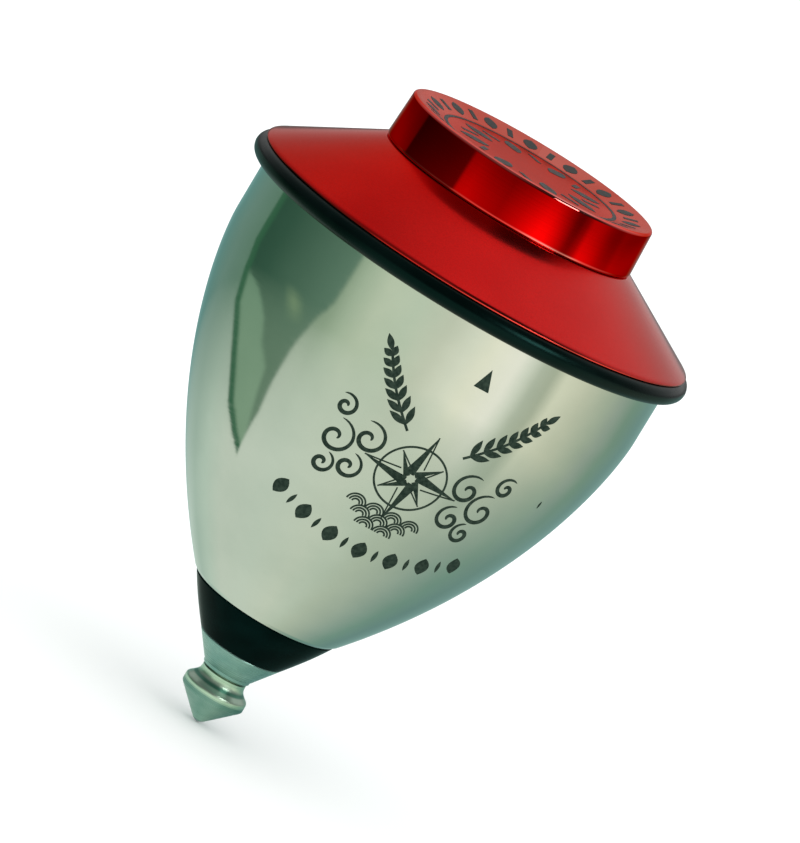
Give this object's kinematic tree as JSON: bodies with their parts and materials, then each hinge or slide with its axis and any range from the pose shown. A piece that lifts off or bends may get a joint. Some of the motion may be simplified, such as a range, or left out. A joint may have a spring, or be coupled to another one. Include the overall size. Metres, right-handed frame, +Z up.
{
  "type": "spinning top",
  "caption": "Hollow steel throwing top with a red aluminium crown and knob, a rubber bumper ring, and a tip that turns freely in two small ball bearings.",
  "frame": {"origin": "lowest point of the tip, on the axis the top spins about", "axes": "+Z up along the spin axis, from the tip towards the knob; X and Y are equal, because the top is round"},
  "size_m": [0.0564, 0.0564, 0.0758],
  "materials": {
    "polished_steel": "polished",
    "black_collar": "gloss",
    "turned_steel": "fine turned",
    "plain_aluminium": "machined",
    "plated_steel": "zinc plated",
    "spring_steel": "black oxide",
    "bearing_steel": "ground",
    "cage_brass": "pressed",
    "black_rubber": "satin",
    "satin_red_anodised": "satin anodised",
    "gloss_red_anodised": "polished anodised"
  },
  "bodies": {
    "top_body": {"body_shell": "polished_steel", "grip_collar": "black_collar", "nose_cone": "turned_steel", "lower_hub": "plain_aluminium", "centre_stud": "plated_steel", "support_tube": "plain_aluminium", "rim_disc": "plain_aluminium", "disc_washer": "plated_steel", "disc_nut": "plated_steel", "bumper_ring": "black_rubber", "crown_cap": "satin_red_anodised", "crown_knob": "gloss_red_anodised", "outer_spacer": "bearing_steel", "bearing_circlip": "spring_steel", "lower_outer_race": "bearing_steel", "upper_outer_race": "bearing_steel", "lower_shields": "bearing_steel", "upper_shields": "bearing_steel"},
    "tip": {"swivel_tip": "turned_steel", "tip_shim": "plated_steel", "tip_circlip": "spring_steel", "inner_spacer": "bearing_steel", "lower_inner_race": "bearing_steel", "upper_inner_race": "bearing_steel"},
    "lower_ball_set": {"lower_cage": "cage_brass", "lower_balls": "bearing_steel"},
    "upper_ball_set": {"upper_cage": "cage_brass", "upper_balls": "bearing_steel"}
  },
  "joints": [
    {"name": "tip_spin", "type": "hinge", "parent": "top_body", "child": "tip", "pos_m": [0, 0, 0.004], "axis": [0, 0, 1], "continuous": true},
    {"name": "lower_cage_roll", "type": "hinge", "parent": "top_body", "child": "lower_ball_set", "pos_m": [0, 0, 0.0122], "axis": [0, 0, 1], "continuous": true},
    {"name": "upper_cage_roll", "type": "hinge", "parent": "top_body", "child": "upper_ball_set", "pos_m": [0, 0, 0.0192], "axis": [0, 0, 1], "continuous": true}
  ],
  "couplings": [
    {"joint": "lower_cage_roll", "follows": "tip_spin", "ratio": 0.4},
    {"joint": "upper_cage_roll", "follows": "tip_spin", "ratio": 0.4}
  ]
}
